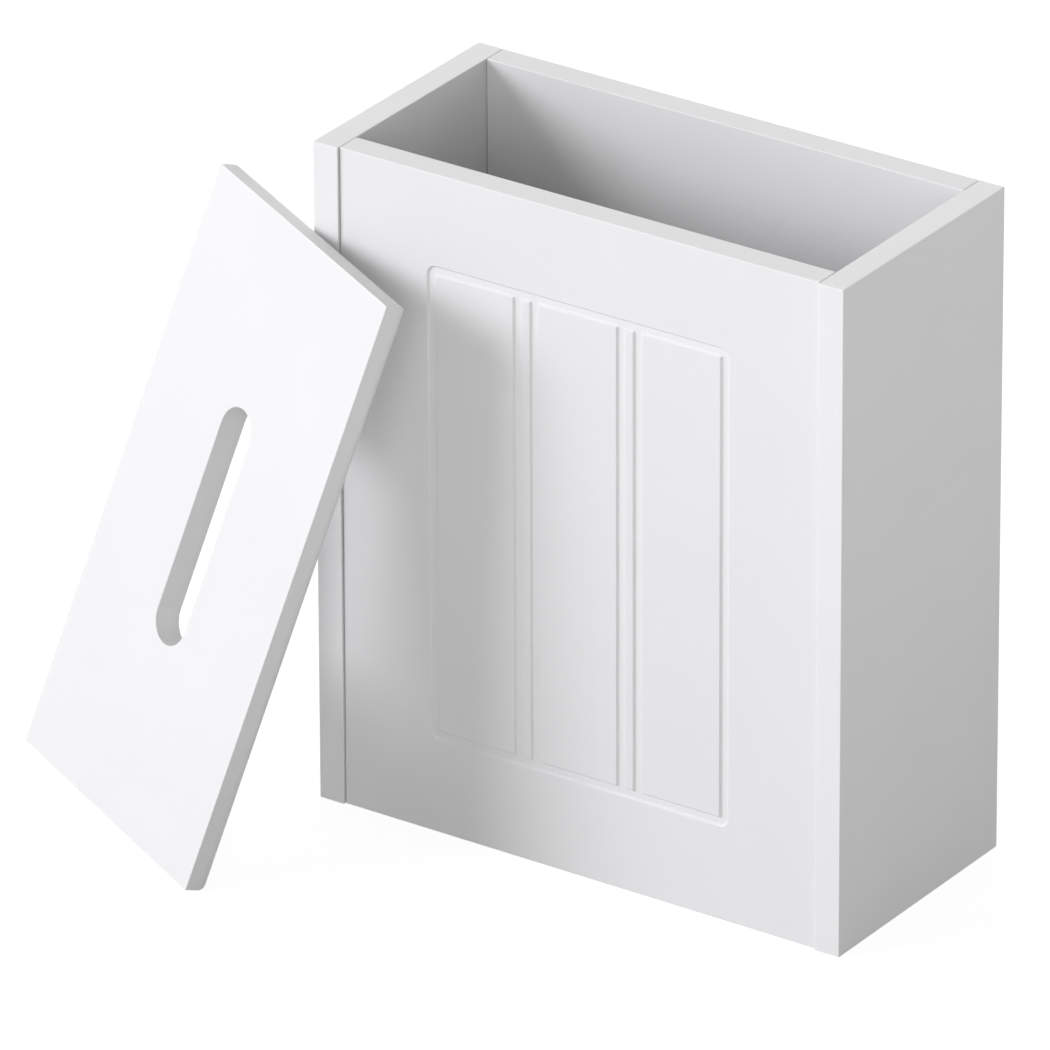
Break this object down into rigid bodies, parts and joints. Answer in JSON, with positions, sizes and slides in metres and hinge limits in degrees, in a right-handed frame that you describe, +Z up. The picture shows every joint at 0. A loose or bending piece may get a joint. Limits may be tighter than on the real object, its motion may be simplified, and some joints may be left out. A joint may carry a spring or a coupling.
{
  "type": "toilet roll storage box",
  "caption": "Free-standing painted box for spare toilet rolls, with a routed front panel and a loose lid with a finger slot, shown leaning against the box.",
  "frame": {"origin": "middle of the box's underside, on the floor", "axes": "+Z up, +Y towards the back panel, +X to the right as the routed front is looked at"},
  "size_m": [0.4614, 0.2767, 0.372],
  "materials": {
    "white_paint": "satin white paint on 15 mm fibreboard",
    "beech": "bare beech",
    "plated_steel": "bright zinc plating",
    "zinc": "as cast"
  },
  "bodies": {
    "box": {"left_side_panel": "white_paint", "right_side_panel": "white_paint", "front_panel": "white_paint", "back_panel": "white_paint", "base_panel": "white_paint", "front_left_dowels": "beech", "front_right_dowels": "beech", "back_left_dowels": "beech", "back_right_dowels": "beech", "base_left_dowels": "beech", "base_right_dowels": "beech", "front_left_cam_bolts": "plated_steel", "front_right_cam_bolts": "plated_steel", "back_left_cam_bolts": "plated_steel", "back_right_cam_bolts": "plated_steel", "base_left_cam_bolt": "plated_steel", "base_right_cam_bolt": "plated_steel", "front_left_cam_locks": "zinc", "front_right_cam_locks": "zinc", "back_left_cam_locks": "zinc", "back_right_cam_locks": "zinc", "base_left_cam_lock": "zinc", "base_right_cam_lock": "zinc"},
    "lid": {"lid": "white_paint"}
  },
  "joints": [
    {"name": "lid_lift", "type": "slide", "parent": "box", "child": "lid", "axis": [0, 0, 1], "range_m": [0, 0.4]}
  ]
}
